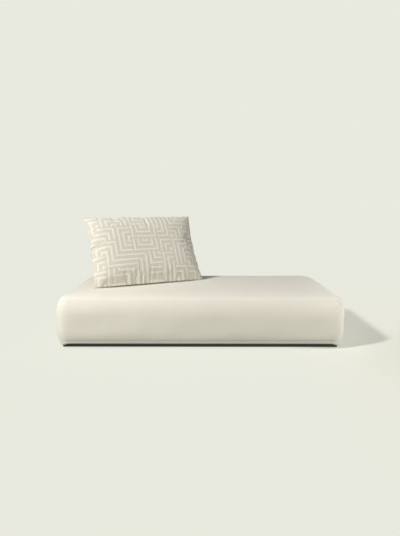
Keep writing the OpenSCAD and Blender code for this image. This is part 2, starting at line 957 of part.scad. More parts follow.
module zip_coil() {
    color([0.62, 0.58, 0.50])
        at_zip() {
            translate([-zip_length / 2, 0, -foot_width / 2]) cube([zip_length, foot_height, foot_width]);
            translate([-zip_length / 2, foot_height, -coil_width / 2])
                cube([zip_length, coil_height - foot_height, coil_width]);
        }
}

module zip_stops() {
    width = coil_width + 2 * stop_overhang;
    color([0.72, 0.72, 0.74])
        at_zip()
            for (end = [-1, 1])
                translate([end * (zip_length + stop_length) / 2 - stop_length / 2, 0, -width / 2])
                    cube([stop_length, coil_height, width]);
}

module zip_slider() {
    channel = coil_width / 2 + running_gap;
    side = channel + slider_wall;
    lip = foot_width / 2 + running_gap;
    color([0.66, 0.64, 0.58])
        at_zip()
            translate([slider_start, 0, 0]) {
                difference() {
                    translate([-slider_length / 2, running_gap, -side])
                        cube([slider_length, slider_roof - running_gap, 2 * side]);
                    translate([-slider_length / 2 - 1, foot_height - running_gap, -channel])
                        cube([slider_length + 2, coil_height - foot_height + 2 * running_gap, 2 * channel]);
                    translate([-slider_length / 2 - 1, -1, -lip])
                        cube([slider_length + 2, foot_height + 1, 2 * lip]);
                }
                for (end = [-1, 1])
                    translate([end * post_place - post_length / 2, slider_roof, -post_width / 2])
                        cube([post_length, pin_rise + pin_diameter / 2, post_width]);
                translate([0, pin_height, 0])
                    rotate([0, 90, 0])
                        cylinder(d = pin_diameter, h = 2 * post_place, center = true, $fn = round_steps);
            }
}

// Flat of the pull: a narrow neck below the eye, then a rounded tab with a hole
module pull_plan(eye_outside) {
    tip = pull_length - pull_width / 2;
    difference() {
        union() {
            translate([-eye_width / 2, -eye_outside - 2]) square([eye_width, eye_outside + 2]);
            translate([-pull_width / 2, -tip]) square([pull_width, tip - eye_outside - 1]);
            translate([0, -tip]) circle(d = pull_width, $fn = round_steps);
        }
        translate([0, -tip]) circle(d = pull_width / 2, $fn = round_steps);
    }
}

// The pull hangs straight down from its pin, clear of the leaning pillow
module zip_pull() {
    eye = pin_diameter / 2 + pin_gap;
    eye_outside = eye + eye_wall;
    color([0.60, 0.58, 0.52])
        at_zip()
            translate([slider_start, pin_height, 0])
                rotate([pillow_lean, 0, 0])
                    difference() {
                        union() {
                            rotate([0, 90, 0])
                                cylinder(r = eye_outside, h = eye_width, center = true, $fn = round_steps);
                            translate([0, pull_thickness / 2, 0])
                                rotate([90, 0, 0]) linear_extrude(pull_thickness) pull_plan(eye_outside);
                        }
                        rotate([0, 90, 0])
                            cylinder(r = eye, h = eye_width + 2, center = true, $fn = round_steps);
                    }
}

floor_glides();
glide_screws();
long_batten(-1);  // plinth_front
long_batten(1);  // plinth_back
short_batten(plinth_width / 2 - plinth_x);  // plinth_left
short_batten(plinth_x - plinth_width / 2);  // plinth_right
short_batten(centre_place);  // plinth_centre
plinth_screws();
dust_cover();
cover_staples();
hem_strip();
long_rail(180);  // front_rail
long_rail(0);  // back_rail
side_rail(-1);  // left_rail
side_rail(1);  // right_rail
cross_rails();
corner_blocks();
frame_screws();
crosswise_webbing();
lengthwise_webbing();
webbing_clips();
edge_foam(0);  // edge_foam_front
edge_foam(1);  // edge_foam_right
edge_foam(2);  // edge_foam_back
edge_foam(3);  // edge_foam_left
foam_slab();
foam_topper();
wadding_wrap();
border(0);  // front_border
border(1);  // right_border
border(2);  // back_border
border(3);  // left_border
top_panel();
pillow_front();
pillow_back(1);  // pillow_back_upper
pillow_back(-1);  // pillow_back_lower
pillow_insert();
zip_tape();
zip_coil();
zip_stops();
zip_slider();
zip_pull();
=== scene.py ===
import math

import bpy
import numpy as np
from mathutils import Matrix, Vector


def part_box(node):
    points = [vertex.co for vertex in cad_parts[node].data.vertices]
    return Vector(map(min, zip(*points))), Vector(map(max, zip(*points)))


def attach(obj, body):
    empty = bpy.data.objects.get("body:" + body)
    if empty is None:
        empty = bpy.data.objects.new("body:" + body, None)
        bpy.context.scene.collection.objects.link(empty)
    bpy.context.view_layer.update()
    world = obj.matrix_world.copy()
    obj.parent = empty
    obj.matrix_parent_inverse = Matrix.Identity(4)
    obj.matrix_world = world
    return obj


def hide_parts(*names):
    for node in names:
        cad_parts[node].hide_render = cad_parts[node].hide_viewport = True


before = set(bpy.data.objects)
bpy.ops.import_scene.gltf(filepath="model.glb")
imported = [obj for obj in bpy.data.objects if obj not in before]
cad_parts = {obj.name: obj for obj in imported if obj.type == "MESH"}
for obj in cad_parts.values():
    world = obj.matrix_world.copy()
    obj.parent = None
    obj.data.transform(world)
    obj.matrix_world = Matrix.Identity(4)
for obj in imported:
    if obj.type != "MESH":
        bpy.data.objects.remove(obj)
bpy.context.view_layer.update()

# Dresses the platform sofa: the sewn cover over the crowned block, the loose pillow with its fret-woven
# front and zipped back, and the finishes of the timber, webbing, foam, plinth and hardware inside.
# Metres throughout: +X along the block, -Y towards the front, +Z up.

# Sizes of the block: half its length and depth and its heights, read from the solids, then how far the hem and
# the rows below it lie in and up
BLOCK_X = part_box("right_border")[1][0]
BLOCK_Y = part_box("back_border")[1][1]
HEM_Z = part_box("front_border")[0][2]
SEAM_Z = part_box("top_panel")[0][2]
TOP_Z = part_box("top_panel")[1][2]
SEAM_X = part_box("top_panel")[1][0]
SEAM_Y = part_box("top_panel")[1][1]
CROWN = TOP_Z - SEAM_Z
SEAM_INSET = BLOCK_X - SEAM_X
HEM_INSET = 0.024
CORNER_RADIUS = 0.105
HEM_ROLL = 0.006
TURN_UNDER = 0.016
HEM_LIFT = 0.003

# Shape of the block's borders and crown: the belly's share of the height, the powers of the curves, the rows
# eased either side of the seam and how many times, and the width of a column
BELLY = 0.50
BELLY_BELOW = 4
BELLY_ABOVE = 3.0
CROWN_FLAT = 7
CROWN_EDGE = 0.6
EASED_ROWS = 9
EASED_TIMES = 16
COLUMN_STEP = 0.011

# Relief of the cover's cloth: swells of the seat and sides, the lip along the hem, the roll and groove of the
# seam, and at each corner a pinch at the top with tucks beside it, folds above the hem and the hem's dip. What
# belongs to the hem alone is kept to the lower side, more than this far down from the seam.
SEAT_SWELL = 0.0011
SIDE_SWELL = 0.0012
HEM_LIP = 0.0014
SEAM_ROLL = 0.0006
SEAM_GROOVE = 0.0010
CORNER_PINCH = 0.0030
CORNER_TUCKS = 0.0012
CORNER_FOLDS = 0.0030
CORNER_DIP = 0.017
LOWER_SIDE = 0.1

# The cover's cloth and the wadding under it: their thickness, how deep the wadding lies, and the row it starts
# from, on the hem's roll
COVER_CLOTH = 0.0014
WADDING_CLOTH = 0.0070
WADDING_DEPTH = 0.0026
WADDING_FROM = 9

# The pillow: its size, its place and pose on the seat, how far its ends and its top and foot draw in between the
# corners, how much more the right end does, how far the front's belly sags, and the gap at its lowest corner
PILLOW_WIDTH = 0.882
PILLOW_HEIGHT = 0.568
PILLOW_THICKNESS = 0.190
PILLOW_TURN = math.radians(27)
PILLOW_LEAN = math.radians(28)
PILLOW_PLACE = (-0.372, -0.048)
PILLOW_DRAW = 0.015
PILLOW_EDGE_DRAW = 0.005
PILLOW_RIGHT_DRAW = 0.008
PILLOW_SAG = 0.016
PILLOW_GAP = 0.0005
HALF_WIDTH = PILLOW_WIDTH / 2
HALF_HEIGHT = PILLOW_HEIGHT / 2

# How the front's cloth hangs over the seat: up to one height it sags to the gap, and above another not at all
SAG_GAP = 0.012
SAG_BELOW = 0.030
SAG_ABOVE = 0.060

# The pillow's cloth as simulated: half of the panels' width and height as cut, in shares of the pillow's, their
# rows and columns, the frames that the swelling takes, the width in cells of the blur that is taken off, and the
# most that a crease may move the cloth
CUT_WIDE = 0.525
CUT_HIGH = 0.535
CLOTH_ROWS = 86
CLOTH_COLUMNS = 134
CLOTH_FRAMES = 24
CREASE_BLUR = 7
CREASE_LIMIT = 0.007

# The pillow's cover: its rows' step, its columns and its clearance from the seat. The pillow's filling: its rows,
# columns and clearance, its depth below the cover, and its bumps
COVER_STEP = 0.0034
COVER_COLUMNS = 267
COVER_LIFT = 0.0006
FILLING_GRID = (60, 92)
FILLING_LIFT = 0.0080
FILLING_DEPTH = 0.018
FILLING_BUMPS = 0.0018

# The fret: distance from one stroke to the next, where the pattern starts across and up, and how far its pile
# stands up
FRET_PITCH = 0.0372
FRET_START = (0.021, 0.5)
FRET_RELIEF = 0.0011

# The zip across the pillow's back: its height on the pillow, half the length and height of its slot, over what
# length the slot tapers shut, how high the cloth rolls up beside it, and how far out the tape's face lies
ZIP_LEVEL = 0.210
ZIP_END = 0.236
ZIP_SLOT = 0.0055
ZIP_TAPER = 0.020
ZIP_ROLL = 0.0006
TAPE_FACE = 0.0880


def smoothstep(a, b, x):
    """0 on a's side and 1 on b's, with a smooth S between. a may be the larger."""
    t = np.clip((x - a) / (b - a), 0, 1)
    return t * t * (3 - 2 * t)


def bell(x, width):
    """Bell curve of height 1: e to the power of minus the square of x / width."""
    return np.exp(-((x / width) ** 2))


# Meshes from grids


def ring_quads(rows, columns):
    """Quads between rows of points that each run round in a ring, wound so that they face outwards."""
    i, j = np.meshgrid(np.arange(rows - 1), np.arange(columns), indexing="ij")
    k = (j + 1) % columns
    a, b = i * columns + j, i * columns + k
    return np.stack([a, b, b + columns, a + columns], axis=-1).reshape(-1, 4)


def build(name, points, faces, materials, uv=None, face_material=None, masks=None, body="block"):
    """An object at the origin from points and faces, on a body. uv has one place per face corner, and masks hold
    one value per point under each name."""
    mesh = bpy.data.meshes.new(name)
    mesh.from_pydata(points.tolist(), [], faces)
    mesh.polygons.foreach_set("use_smooth", np.ones(len(mesh.polygons), bool))
    if uv is not None:
        layer = mesh.uv_layers.new(name="cloth")
        layer.data.foreach_set("uv", np.asarray(uv, float).reshape(-1))
    for key, values in (masks or {}).items():
        layer = mesh.attributes.new(key, "FLOAT", "POINT")
        layer.data.foreach_set("value", np.asarray(values, float).reshape(-1))
    for material in materials:
        mesh.materials.append(material)
    if face_material is not None:
        mesh.polygons.foreach_set("material_index", np.asarray(face_material, np.int32))
    mesh.update()
    obj = bpy.data.objects.new(name, mesh)
    bpy.context.scene.collection.objects.link(obj)
    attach(obj, body)
    return obj


# Node helpers


class Nodes:
    """A node tree with short calls. A value given to an input is a number, a colour or another node's output."""

    def __init__(self, tree):
        self.tree = tree
        self.column = 0

    def plug(self, socket, value):
        """Link an output to a socket, or set the socket's value."""
        if isinstance(value, bpy.types.NodeSocket):
            self.tree.links.new(value, socket)
        elif isinstance(value, (tuple, list)) and len(value) == 3 and socket.type == "RGBA":
            socket.default_value = (*value, 1)
        else:
            socket.default_value = value

    def add(self, kind, inputs=None, **settings):
        """A node of a kind with its settings and its inputs, laid out in a row."""
        node = self.tree.nodes.new(kind)
        node.location = (self.column * 180, 0)
        self.column += 1
        for key, value in settings.items():
            setattr(node, key, value)
        for key, value in (inputs or {}).items():
            self.plug(node.inputs[key], value)
        return node

    def mask(self, name):
        """One of the masks that a piece holds on its points."""
        return self.add("ShaderNodeAttribute", attribute_name=name).outputs["Fac"]

    def scaled(self, vector, scale):
        """The vector with each coordinate multiplied by its own factor."""
        node = self.add("ShaderNodeVectorMath", {0: vector, 1: scale}, operation="MULTIPLY")
        return node.outputs[0]

    def math(self, operation, a, b=0.0):
        """Output of a Math node."""
        return self.add("ShaderNodeMath", {0: a, 1: b}, operation=operation).outputs[0]

    def mix(self, factor, a, b):
        """Colour that goes from a to b as the factor goes from 0 to 1."""
        return self.add("ShaderNodeMix", {0: factor, 6: a, 7: b}, data_type="RGBA").outputs[2]

    def noise(self, vector, scale, detail=3.0, roughness=0.55):
        """Soft noise about a half, with a number of features per metre."""
        inputs = {"Vector": vector, "Scale": scale, "Detail": detail, "Roughness": roughness}
        return self.add("ShaderNodeTexNoise", inputs).outputs["Fac"]

    def remap(self, value, low, high, to_low=0.0, to_high=1.0):
        """The value moved in proportion from one range to another, and held at its ends."""
        return self.add("ShaderNodeMapRange", {0: value, 1: low, 2: high, 3: to_low, 4: to_high}).outputs[0]


def node_group(name, inputs, outputs):
    """An empty shader group with named sockets: inputs and outputs map a name to a socket type and a default."""
    tree = bpy.data.node_groups.new(name, "ShaderNodeTree")
    for key, (kind, value) in inputs.items():
        socket = tree.interface.new_socket(key, in_out="INPUT", socket_type=kind)
        if value is not None:
            socket.default_value = value
    for key, kind in outputs.items():
        tree.interface.new_socket(key, in_out="OUTPUT", socket_type=kind)
    nodes = Nodes(tree)
    return tree, nodes, nodes.add("NodeGroupInput").outputs


def woven_group():
    """Plain weave on a flat coordinate in metres: threads of a pitch cross over and under. Height is half the
    product of two sine waves, one per thread direction, plus slubs, and Shade is the slubs' own."""
    tree, n, given = node_group(
        "plain weave",
        {"Vector": ("NodeSocketVector", None), "Pitch": ("NodeSocketFloat", 0.0016)},
        {"Height": "NodeSocketFloat", "Shade": "NodeSocketFloat"},
    )
    split = n.add("ShaderNodeSeparateXYZ", {0: given["Vector"]}).outputs
    rate = n.math("DIVIDE", math.pi, given["Pitch"])
    waves = [n.math("SINE", n.math("MULTIPLY", split[i], rate)) for i in (0, 1)]
    over = n.math("MULTIPLY", waves[0], waves[1])
    along, across = (n.noise(n.scaled(given["Vector"], s), 900.0, 1.0) for s in ((0.05, 1, 1), (1, 0.05, 1)))
    slub = n.math("ADD", along, across)
    height = n.math("ADD", n.math("MULTIPLY", over, 0.5), n.math("MULTIPLY", slub, 0.6))
    out = n.add("NodeGroupOutput")
    n.plug(out.inputs["Height"], height)
    n.plug(out.inputs["Shade"], n.remap(slub, 0.7, 1.3))
    return tree


def mottle_group():
    """Soft uneven tone: two sizes of noise, in patches a hand wide and a finger wide, as a value about a half."""
    tree, n, given = node_group(
        "soft mottle",
        {"Vector": ("NodeSocketVector", None), "Patch": ("NodeSocketFloat", 5.0)},
        {"Tone": "NodeSocketFloat"},
    )
    wide = n.noise(given["Vector"], given["Patch"], 2.0)
    near = n.noise(given["Vector"], n.math("MULTIPLY", given["Patch"], 9.0), 3.0)
    tone = n.math("ADD", n.math("MULTIPLY", wide, 0.65), n.math("MULTIPLY", near, 0.35))
    out = n.add("NodeGroupOutput")
    n.plug(out.inputs["Tone"], tone)
    return tree


def grain_group():
    """Wood grain along X: noise stretched along the batten, sharpened to growth lines, with fine pores over it."""
    tree, n, given = node_group(
        "long grain",
        {"Vector": ("NodeSocketVector", None), "Lines": ("NodeSocketFloat", 60.0)},
        {"Grain": "NodeSocketFloat", "Pores": "NodeSocketFloat"},
    )
    drawn = n.scaled(given["Vector"], (0.06, 1, 1))
    rings = n.noise(drawn, given["Lines"], 4.0, 0.6)
    bands = n.math("SINE", n.math("MULTIPLY", rings, 40.0))
    out = n.add("NodeGroupOutput")
    n.plug(out.inputs["Grain"], n.remap(bands, -1.0, 1.0))
    n.plug(out.inputs["Pores"], n.noise(drawn, n.math("MULTIPLY", given["Lines"], 12.0), 2.0))
    return tree


WEAVE = woven_group()
MOTTLE = mottle_group()
GRAIN = grain_group()


def material(name, roughness=0.8, metallic=0.0, sheen=0.0, coat=0.0):
    """(material, nodes, Principled BSDF) with the values that are the same all over set on the shader."""
    mat = bpy.data.materials.new(name)
    mat.use_nodes = True
    nodes = Nodes(mat.node_tree)
    shader = mat.node_tree.nodes["Principled BSDF"]
    shader.inputs["Roughness"].default_value = roughness
    shader.inputs["Metallic"].default_value = metallic
    shader.inputs["Sheen Weight"].default_value = sheen
    shader.inputs["Sheen Roughness"].default_value = 0.5
    shader.inputs["Coat Weight"].default_value = coat
    return mat, nodes, shader


def use(nodes, group, **inputs):
    """Outputs of a shader group with its inputs set or linked."""
    node = nodes.add("ShaderNodeGroup", node_tree=group)
    for key, value in inputs.items():
        nodes.plug(node.inputs[key], value)
    return node.outputs


def finish(nodes, shader, color, height, strength, distance, roughness=None):
    """Colour and bump into the shader, and roughness where it varies."""
    nodes.plug(shader.inputs["Base Color"], color)
    bump = nodes.add("ShaderNodeBump", {"Height": height, "Strength": strength, "Distance": distance})
    nodes.plug(shader.inputs["Normal"], bump.outputs[0])
    if roughness is not None:
        nodes.plug(shader.inputs["Roughness"], roughness)


def shaded(color, factor):
    """The colour made darker or lighter by a factor."""
    return tuple(c * factor for c in color)


def woven_cloth(name, color, pitch=0.0016, depth=0.0004, contrast=0.06, uv=True, sheen=0.25, seam_dip_and_shade=False):
    """Cloth of one colour: plain weave, threads of slightly different shades, and a soft mottle. Where asked, a
    fine line of painted shade, with a slight dip in the bump, runs where the panels meet, from half a millimetre
    to one and a half off the seam."""
    mat, n, shader = material(name, roughness=0.92, sheen=sheen)
    coordinates = n.add("ShaderNodeTexCoord").outputs
    weave = use(n, WEAVE, Vector=coordinates["UV" if uv else "Object"], Pitch=pitch)
    tone = use(n, MOTTLE, Vector=coordinates["Object"], Patch=5.0)["Tone"]
    threads = n.mix(weave["Shade"], shaded(color, 1 - contrast), shaded(color, 1 + contrast * 0.5))
    cloth = n.mix(n.remap(tone, 0.35, 0.65, 0.0, 0.35), threads, shaded(color, 1 - 1.6 * contrast))
    height = weave["Height"]
    if seam_dip_and_shade:
        # Painted shade: the cloth darkens to a thin line in the seam's groove, as far as the strength mask allows,
        # and the bump sinks there too
        line = n.math("MULTIPLY", n.remap(n.mask("seam"), 0.0004, 0.0015, 1.0, 0.0), n.mask("strength"))
        cloth = n.mix(n.math("MULTIPLY", line, 0.5), cloth, shaded(color, 0.6))
        height = n.math("SUBTRACT", height, n.math("MULTIPLY", line, 1.5))
    finish(n, shader, cloth, height, 0.35, depth)
    return mat


def fret_cloth(name, ground, stroke):
    """Cloth with raised pale strokes on a darker ground: the fret mask chooses the colour and lifts the pile."""
    mat, n, shader = material(name, roughness=0.94, sheen=0.3)
    coordinates = n.add("ShaderNodeTexCoord").outputs
    mask = n.mask("fret")
    weave = use(n, WEAVE, Vector=coordinates["UV"], Pitch=0.0022)
    pile = n.noise(coordinates["UV"], 1400.0, 2.0)
    tone = use(n, MOTTLE, Vector=coordinates["UV"], Patch=9.0)["Tone"]
    edge = n.remap(n.math("ADD", mask, n.math("MULTIPLY", n.math("SUBTRACT", pile, 0.5), 0.35)), 0.3, 0.7)
    flat = n.mix(weave["Shade"], shaded(ground, 0.92), shaded(ground, 1.05))
    tufted = n.mix(n.remap(pile, 0.3, 0.7), shaded(stroke, 0.94), shaded(stroke, 1.03))
    color = n.mix(edge, flat, tufted)
    color = n.mix(n.remap(tone, 0.35, 0.65, 0.0, 0.25), color, shaded(ground, 0.9))
    tufts = n.math("MULTIPLY", n.math("MULTIPLY", pile, edge), 1.2)
    height = n.math("ADD", n.math("MULTIPLY", weave["Height"], 0.5), tufts)
    finish(n, shader, color, height, 0.45, 0.0006)
    return mat


def timber(name, color, dark, lines, roughness, coat=0.0, turned=False):
    """Timber with growth lines and pores; turned runs the grain along Y instead of X."""
    mat, n, shader = material(name, roughness=roughness, coat=coat)
    place = n.add("ShaderNodeTexCoord").outputs["Object"]
    if turned:
        place = n.add("ShaderNodeMapping", {"Vector": place, "Rotation": (0, 0, math.pi / 2)}).outputs[0]
    grain = use(n, GRAIN, Vector=place, Lines=lines)
    wood = n.mix(n.math("MULTIPLY", grain["Grain"], 0.55), color, dark)
    wood = n.mix(n.remap(grain["Pores"], 0.45, 0.62, 0.0, 0.35), wood, dark)
    height = n.math("ADD", n.math("MULTIPLY", grain["Grain"], 0.4), grain["Pores"])
    worn = n.remap(grain["Pores"], 0.3, 0.7, roughness - 0.08, roughness + 0.1)
    finish(n, shader, wood, height, 0.25, 0.0005, worn)
    return mat


def foam(name, color, cell=700.0):
    """Open-cell foam: pits from a fine cell pattern, darkened by painted shade, and a slight yellowing in patches.
    """
    mat, n, shader = material(name, roughness=0.95)
    place = n.add("ShaderNodeTexCoord").outputs["Object"]
    cells = n.add("ShaderNodeTexVoronoi", {"Vector": place, "Scale": cell}).outputs["Distance"]
    tone = use(n, MOTTLE, Vector=place, Patch=4.0)["Tone"]
    block = n.mix(n.remap(tone, 0.3, 0.7, 0.0, 0.5), color, shaded(color, 0.86))
    # Painted shade: darker in the cells' pits, where the bump sinks
    block = n.mix(n.remap(cells, 0.1, 0.6, 0.5, 0.0), block, shaded(color, 0.7))
    finish(n, shader, block, cells, 0.6, 0.0008)
    return mat


def metal(name, color, roughness=0.35):
    """Plated steel with a faint mottle and fine scratches."""
    mat, n, shader = material(name, roughness=roughness, metallic=1.0)
    place = n.add("ShaderNodeTexCoord").outputs["Object"]
    drawn = n.scaled(place, (0.1, 1, 1))
    scratches = n.noise(drawn, 2500.0, 2.0)
    tone = n.noise(place, 180.0, 2.0)
    plate = n.mix(n.remap(tone, 0.35, 0.65), shaded(color, 0.85), color)
    worn = n.remap(scratches, 0.3, 0.7, roughness - 0.08, roughness + 0.12)
    finish(n, shader, plate, scratches, 0.1, 0.0002, worn)
    return mat


def plastic(name, color, roughness=0.45):
    """Moulded plastic: a fine even texture with scuffs in its gloss."""
    mat, n, shader = material(name, roughness=roughness)
    place = n.add("ShaderNodeTexCoord").outputs["Object"]
    texture = n.noise(place, 1800.0, 2.0)
    scuff = n.noise(place, 90.0, 3.0)
    moulded = n.mix(n.remap(scuff, 0.4, 0.7, 0.0, 0.5), color, shaded(color, 1.25))
    worn = n.remap(scuff, 0.35, 0.65, roughness - 0.1, roughness + 0.15)
    finish(n, shader, moulded, texture, 0.15, 0.0002, worn)
    return mat


OATMEAL = (0.838, 0.808, 0.713)
TAUPE, PALE_PILE = (0.700, 0.657, 0.568), (0.860, 0.846, 0.760)
BLACK, BLACK_GRAIN = (0.012, 0.011, 0.010), (0.004, 0.004, 0.004)
PINE_WOOD, PINE_GRAIN = (0.58, 0.40, 0.21), (0.36, 0.20, 0.09)

COVER = woven_cloth("oatmeal cover cloth", OATMEAL, seam_dip_and_shade=True)
FRET = fret_cloth("fret cloth", TAUPE, PALE_PILE)
PILLOW_BACK = woven_cloth("plain pillow cloth", (0.640, 0.585, 0.480), pitch=0.0022, contrast=0.08)
FIBRE = woven_cloth("white fibre", (0.84, 0.83, 0.80), pitch=0.004, depth=0.001, contrast=0.04, uv=False)
CALICO = woven_cloth("calico", (0.66, 0.61, 0.50), pitch=0.0012, contrast=0.10, uv=False)
LINING = woven_cloth("black lining", (0.020, 0.020, 0.021), 0.0010, contrast=0.3, uv=False, sheen=0.0)
WEBBING = woven_cloth("elastic webbing", (0.030, 0.030, 0.033), 0.0024, 0.0008, contrast=0.4, uv=False)
ZIP_CLOTH = woven_cloth("zip tape cloth", (0.50, 0.45, 0.36), pitch=0.0010, contrast=0.10, uv=False)
PLINTH = timber("black stained batten", BLACK, BLACK_GRAIN, 90.0, 0.5, 0.15)
PLINTH_ACROSS = timber("black stained batten across", BLACK, BLACK_GRAIN, 90.0, 0.5, 0.15, turned=True)
PINE = timber("sawn pine", PINE_WOOD, PINE_GRAIN, 45.0, 0.75)
PINE_ACROSS = timber("sawn pine across", PINE_WOOD, PINE_GRAIN, 45.0, 0.75, turned=True)
FIRM_FOAM = foam("firm foam", (0.78, 0.66, 0.30))
SOFT_FOAM = foam("soft foam", (0.86, 0.80, 0.58), 900.0)
ZINC = metal("zinc plated steel", (0.60, 0.60, 0.62))
ZIP_METAL = metal("antique zip metal", (0.42, 0.39, 0.32), 0.3)
COIL = plastic("zip coil nylon", (0.46, 0.41, 0.33))
GLIDE = plastic("black glide nylon", (0.015, 0.015, 0.015))

FINISHES = {
    GLIDE: ["floor_glides"],
    ZINC: ["glide_screws", "plinth_screws", "cover_staples", "frame_screws", "webbing_clips"],
    PLINTH: ["plinth_front", "plinth_back"],
    PLINTH_ACROSS: ["plinth_left", "plinth_right", "plinth_centre"],
    LINING: ["dust_cover"],
    CALICO: ["hem_strip"],
    PINE: ["front_rail", "back_rail", "corner_blocks"],
    PINE_ACROSS: ["left_rail", "right_rail", "cross_rails"],
    WEBBING: ["crosswise_webbing", "lengthwise_webbing"],
    FIRM_FOAM: ["edge_foam_front", "edge_foam_right", "edge_foam_back", "edge_foam_left", "foam_slab"],
    SOFT_FOAM: ["foam_topper"],
    FIBRE: ["wadding_wrap"],
    ZIP_CLOTH: ["zip_tape"],
    COIL: ["zip_coil"],
    ZIP_METAL: ["zip_stops", "zip_slider", "zip_pull"],
}
for material_of_these, names in FINISHES.items():
    for name in names:
        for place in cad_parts[name].material_slots:
            place.material = material_of_these


# The seat cover


def nearness(x, y):
    """How near a place of the plan lies to the seam's outline, 0 along the middle and 1 on the outline. Both
    coordinates count in half depths from the middle line, and level lines have the outline's rounded corners: in
    a corner it is the share s by which the outline shrinks until its arc passes through the place."""
    a = np.maximum(0, np.abs(x) - SEAM_X + SEAM_Y) / SEAM_Y
    b = np.abs(y) / SEAM_Y
    r = (CORNER_RADIUS - SEAM_INSET) / SEAM_Y
    c = 1 - r
    k = 2 * c * c - r * r
    arc = (c * (a + b) - np.sqrt(np.maximum((c * (a + b)) ** 2 - k * (a * a + b * b), 0))) / k
    return np.where(np.minimum(a, b) <= c * np.maximum(a, b), np.maximum(a, b), arc)


def crown_share(x, y):
    """Share of the crown's rise over a place of the plan: one minus the seventh power of the nearness to the
    outline, to the power 0.6, so that its middle is flat and its edge rolls over."""
    return (1 - np.minimum(1, nearness(x, y)) ** CROWN_FLAT) ** CROWN_EDGE


def border_inset(z):
    """How far the border draws in at a height: a power curve below and above its belly."""
    t = (z - HEM_Z) / (SEAM_Z - HEM_Z)
    below = HEM_INSET * np.clip(1 - t / BELLY, 0, 1) ** BELLY_BELOW
    above = SEAM_INSET * np.clip((t - BELLY) / (1 - BELLY), 0, 1) ** BELLY_ABOVE
    return below + above


def waves(x, y, seed, count, longest, shortest):
    """Soft random relief between about -1 and 1: a sum of plane sine waves in random directions and phases."""
    random = np.random.default_rng(seed)
    turn, phase = random.uniform(0, 2 * math.pi, (2, count))
    length = longest * (shortest / longest) ** random.uniform(0, 1, count)
    swing = x[..., None] * np.cos(turn) + y[..., None] * np.sin(turn)
    return (np.sin(2 * math.pi * swing / length + phase)).sum(-1) / math.sqrt(count)


def seat_relief(x, y):
    """Loose fabric over the seat: long soft swells, none where the seam holds the cloth."""
    edge = smoothstep(0, 0.12, np.minimum(SEAM_X - np.abs(x), SEAM_Y - np.abs(y)))
    return SEAT_SWELL * waves(x, y, 3, 14, 0.75, 0.22) * edge


def seat_top(x, y):
    """Height of the dressed seat over a point of the plan."""
    return SEAM_Z + CROWN * crown_share(x, y) + seat_relief(x, y)


def ring_columns(step):
    """Columns round the block as a square ring: corner signs (sx, sy) and a direction (dx, dy) each, with its place
    (t) along a side or round a corner, so a ring of half sizes hx, hy and corner radius r has its points at
    (sx (hx - r) + dx r, sy (hy - r) + dy r). Corner columns crowd towards the mitre seam."""
    side_x, side_y = (np.linspace(-1, 1, int(round(2 * half / step))) for half in (BLOCK_X, BLOCK_Y))
    fan = np.array([1.0, 2.2, 4, 7, 11, 16, 22, 29, 37])
    fan = np.radians(np.concatenate([-fan[::-1], [0], fan]) + 45)
    parts = []
    for side, places in enumerate([side_x, side_y, side_x, side_y]):
        along = np.array([round(math.cos(side * math.pi / 2)), round(math.sin(side * math.pi / 2))])
        out = np.array([along[1], -along[0]])
        parts.append(np.hstack([out + places[:, None] * along, np.tile(out, (len(places), 1))]))
        turned = np.cos(fan)[:, None] * out + np.sin(fan)[:, None] * along
        parts.append(np.hstack([np.tile(out + along, (len(fan), 1)), turned]))
    return np.concatenate(parts).T


def block_rows():
    """Rows of the block's skin from the turned-under hem to the crown: (inset, height) up to the seam, then the
    distance in from the seam. Rows crowd at the hem's roll and at the seam."""
    under = [(TURN_UNDER, 0), (0.011, 0.001), (0.008, HEM_LIFT)]
    under = np.add((HEM_INSET, HEM_Z), under)
    roll = np.radians(np.linspace(0, 84, 8))
    turned = HEM_ROLL * np.stack([1 - np.sin(roll), 1 - np.cos(roll)], 1) + (HEM_INSET, HEM_Z + HEM_LIFT)
    fine = np.cumsum([0, 2, 2, 2, 2, 3, 3, 4, 4, 5, 6, 7]) / 1000
    low = HEM_Z + HEM_LIFT + HEM_ROLL + fine
    middle = np.linspace(low[-1], SEAM_Z - fine[-1], 26)[1:-1]
    heights = np.concatenate([low, middle, SEAM_Z - fine[::-1]])
    up = np.stack([border_inset(heights), heights], 1)
    inner = np.concatenate([fine[1:], np.linspace(fine[-1], SEAM_Y, 46)[1:-1]])
    return np.concatenate([under, turned, up]), inner


def settled(points, first, last, passes):
    """The rows first to last eased towards the mean of their neighbours, which rounds an edge that runs along
    them."""
    share = np.zeros((len(points), 1, 1))
    share[first:last, 0, 0] = 0.5 * np.sin(np.linspace(0.15, math.pi - 0.15, last - first))
    for _ in range(passes):
        middle = (points[:-2] + points[2:]) / 2
        points[1:-1] += share[1:-1] * (middle - points[1:-1])
    return points


def outward(points):
    """Outward normals of rows of points that each run round in a ring: round the row, crossed with up the rows."""
    around = np.roll(points, -1, 1) - np.roll(points, 1, 1)
    normal = np.cross(around, np.gradient(points, axis=0))
    return normal / np.maximum(np.linalg.norm(normal, axis=-1, keepdims=True), 1e-12)


COLUMNS = ring_columns(COLUMN_STEP)


